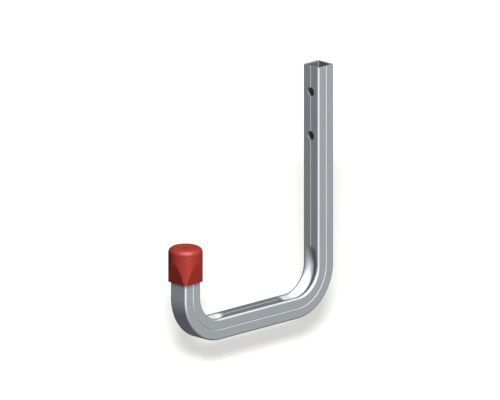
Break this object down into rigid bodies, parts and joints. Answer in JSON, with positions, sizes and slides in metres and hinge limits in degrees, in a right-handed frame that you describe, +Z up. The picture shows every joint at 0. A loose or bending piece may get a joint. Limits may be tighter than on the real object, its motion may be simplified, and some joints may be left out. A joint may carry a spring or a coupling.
{
  "type": "wall hook",
  "caption": "J-shaped wall hook bent from square steel tube, with screw holes in its tall leg and a red plastic cap on the tip of its short leg.",
  "frame": {"origin": "on the back face of the wall leg, on its middle plane, half way between the two screw holes", "axes": "+Z up along the wall leg, +Y into the wall, +X to the right seen from the room; the hook reaches out along -Y"},
  "size_m": [0.0316, 0.1978, 0.2329],
  "materials": {
    "zinc_plated_steel": "bright zinc-plated, satin",
    "red_plastic": "moulded, semi-gloss red"
  },
  "bodies": {
    "root": {"hook_tube": "zinc_plated_steel", "end_cap": "red_plastic"}
  },
  "joints": []
}
